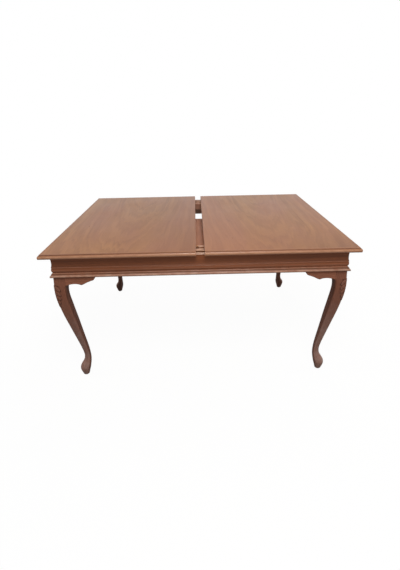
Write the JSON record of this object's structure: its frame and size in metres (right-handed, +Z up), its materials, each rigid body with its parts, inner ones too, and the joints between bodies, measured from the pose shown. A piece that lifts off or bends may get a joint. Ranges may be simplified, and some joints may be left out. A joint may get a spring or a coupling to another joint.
{
  "type": "butterfly leaf table",
  "caption": "Rectangular extension dining table on cabriole legs: a two-piece veneered top slides apart on wooden rails over a hinged leaf that is stored folded in the frame.",
  "frame": {"origin": "centre of the footprint on the floor", "axes": "+X along the table's length, +Y towards the back, +Z up"},
  "size_m": [1.49, 1.05, 0.77],
  "materials": {
    "veneered board": "satin lacquered red-brown veneer",
    "moulded edge wood": "satin lacquered red-brown",
    "frame wood": "satin lacquered dark red-brown",
    "inner wood": "plain sealed",
    "zinc steel": "zinc plated",
    "dark steel": "black painted",
    "brass": "satin",
    "nylon": "matte"
  },
  "bodies": {
    "frame": {"front_apron": "frame wood", "back_apron": "frame wood", "left_apron": "frame wood", "right_apron": "frame wood", "front_left_leg": "frame wood", "front_right_leg": "frame wood", "back_left_leg": "frame wood", "back_right_leg": "frame wood", "front_left_bracket": "frame wood", "front_right_bracket": "frame wood", "back_left_bracket": "frame wood", "back_right_bracket": "frame wood", "left_front_bracket": "frame wood", "right_front_bracket": "frame wood", "left_back_bracket": "frame wood", "right_back_bracket": "frame wood", "front_left_brace": "inner wood", "front_right_brace": "inner wood", "back_left_brace": "inner wood", "back_right_brace": "inner wood", "leg_bolts": "zinc steel", "wing_nuts": "zinc steel", "foot_glides": "nylon", "front_rail": "inner wood", "back_rail": "inner wood", "left_outer_bearer": "inner wood", "left_inner_bearer": "inner wood", "right_inner_bearer": "inner wood", "right_outer_bearer": "inner wood", "rail_screws": "zinc steel", "runner_stops": "inner wood", "left_pivot_bracket": "dark steel", "right_pivot_bracket": "dark steel", "left_rest_block": "inner wood", "right_rest_block": "inner wood"},
    "left_top": {"left_top_panel": "veneered board", "left_front_lipping": "moulded edge wood", "left_back_lipping": "moulded edge wood", "left_end_lipping": "moulded edge wood", "left_front_runner": "inner wood", "left_back_runner": "inner wood", "left_runner_screws": "zinc steel", "top_pins": "brass"},
    "right_top": {"right_top_panel": "veneered board", "right_front_lipping": "moulded edge wood", "right_back_lipping": "moulded edge wood", "right_end_lipping": "moulded edge wood", "right_front_runner": "inner wood", "right_back_runner": "inner wood", "right_runner_screws": "zinc steel"},
    "upper_leaf": {"leaf_upper_half": "veneered board", "leaf_upper_pin": "brass", "leaf_upper_hinges": "brass", "leaf_hinge_pins": "brass", "left_swing_arm": "dark steel", "right_swing_arm": "dark steel", "pivot_pins": "dark steel"},
    "lower_leaf": {"leaf_lower_half": "veneered board", "leaf_lower_pin": "brass", "leaf_lower_hinges": "brass"}
  },
  "joints": [
    {"name": "left_top_slide", "type": "slide", "parent": "frame", "child": "left_top", "axis": [-1, 0, 0], "range_m": [-0.02, 0.215]},
    {"name": "right_top_slide", "type": "slide", "parent": "frame", "child": "right_top", "axis": [1, 0, 0], "range_m": [-0.02, 0.215]},
    {"name": "leaf_swing", "type": "hinge", "parent": "frame", "child": "upper_leaf", "pos_m": [0, 0.098, 0.723], "axis": [-1, 0, 0], "range_deg": [0, 6]},
    {"name": "leaf_fold", "type": "hinge", "parent": "upper_leaf", "child": "lower_leaf", "pos_m": [0, 0.196, 0.67575], "axis": [1, 0, 0], "range_deg": [0, 165]}
  ]
}
